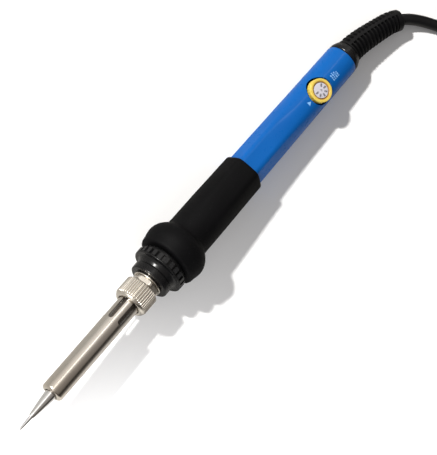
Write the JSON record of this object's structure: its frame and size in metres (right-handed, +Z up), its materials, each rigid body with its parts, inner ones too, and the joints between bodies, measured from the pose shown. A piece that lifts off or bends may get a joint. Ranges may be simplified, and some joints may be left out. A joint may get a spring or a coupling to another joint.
{
  "type": "soldering iron",
  "caption": "Mains soldering iron with a conical bit in a slotted barrel, knurled nut, flared rubber grip, temperature knob, ribbed cord boot, and its cord folded in a tied hank.",
  "frame": {"origin": "middle of the iron without its cord, on the surface that it lies on", "axes": "+Z up, +X along the iron from the bit to the cord, +Y to the left of that"},
  "size_m": [0.3787, 0.0549, 0.0301],
  "materials": {
    "plated_bit": "bright tinned point on plated copper, a little heat tint",
    "stainless_barrel": "satin stainless tube, warm heat tint",
    "nickel_plate": "bright nickel plate, fine knurl",
    "ceramic": "unglazed ceramic",
    "black_resin": "satin black phenolic resin",
    "grip_rubber": "soft matte rubber",
    "blue_handle": "glossy moulded blue",
    "yellow_knob": "satin moulded yellow",
    "dial_grey": "printed pale grey disc",
    "brass": "nickelled brass",
    "component_black": "moulded epoxy",
    "circuit_board": "green solder mask",
    "component_red": "dipped film capacitor",
    "component_amber": "glass diode body",
    "lead_sleeve": "woven glass sleeve",
    "wire_black": "thin wire insulation",
    "wire_red": "thin wire insulation",
    "boot_rubber": "soft satin rubber",
    "cord_sheath": "satin black cord sheath",
    "tie_strap": "woven hook and loop strap",
    "plug_plastic": "moulded black plug"
  },
  "bodies": {
    "handle": {"threaded_nipple": "nickel_plate", "nipple_washer": "nickel_plate", "heater_rod": "ceramic", "heater_collar": "ceramic", "nose_piece": "black_resin", "grip_sleeve": "grip_rubber", "handle_tube": "blue_handle", "rear_cap": "black_resin", "potentiometer_body": "component_black", "control_board": "circuit_board", "triac": "component_black", "film_capacitor": "component_red", "resistor_1": "ceramic", "resistor_2": "ceramic", "diac": "component_amber", "heater_lead_1": "lead_sleeve", "heater_lead_2": "lead_sleeve", "mains_wire_1": "wire_black", "mains_wire_2": "wire_red", "strain_relief": "boot_rubber", "mains_cord": "cord_sheath", "cord_hank": "cord_sheath", "cord_tail": "cord_sheath", "hank_tie": "tie_strap", "plug_body": "plug_plastic", "plug_blade_1": "brass", "plug_blade_2": "brass"},
    "bit": {"soldering_bit": "plated_bit"},
    "barrel": {"barrel": "stainless_barrel"},
    "nut": {"barrel_nut": "nickel_plate"},
    "knob": {"temperature_knob": "yellow_knob", "dial_plate": "dial_grey", "potentiometer_shaft": "brass"}
  },
  "joints": [
    {"name": "bit_draw", "type": "slide", "parent": "handle", "child": "bit", "axis": [-0.9985, 0, 0.054], "range_m": [0, 0.055]},
    {"name": "barrel_advance", "type": "slide", "parent": "bit", "child": "barrel", "axis": [-0.9985, 0, 0.054], "range_m": [0, 0.006]},
    {"name": "nut_turn", "type": "hinge", "parent": "barrel", "child": "nut", "pos_m": [-0.03695, 0, 0.01497], "axis": [-0.9985, 0, 0.054], "range_deg": [0, 2161]},
    {"name": "knob_turn", "type": "hinge", "parent": "handle", "child": "knob", "pos_m": [0.08331, 0, 0.01648], "axis": [0.054, 0, 0.9985], "range_deg": [-236, 29]}
  ],
  "couplings": [
    {"joint": "nut_turn", "follows": "barrel_advance", "rad_per_m": 6283.2}
  ]
}
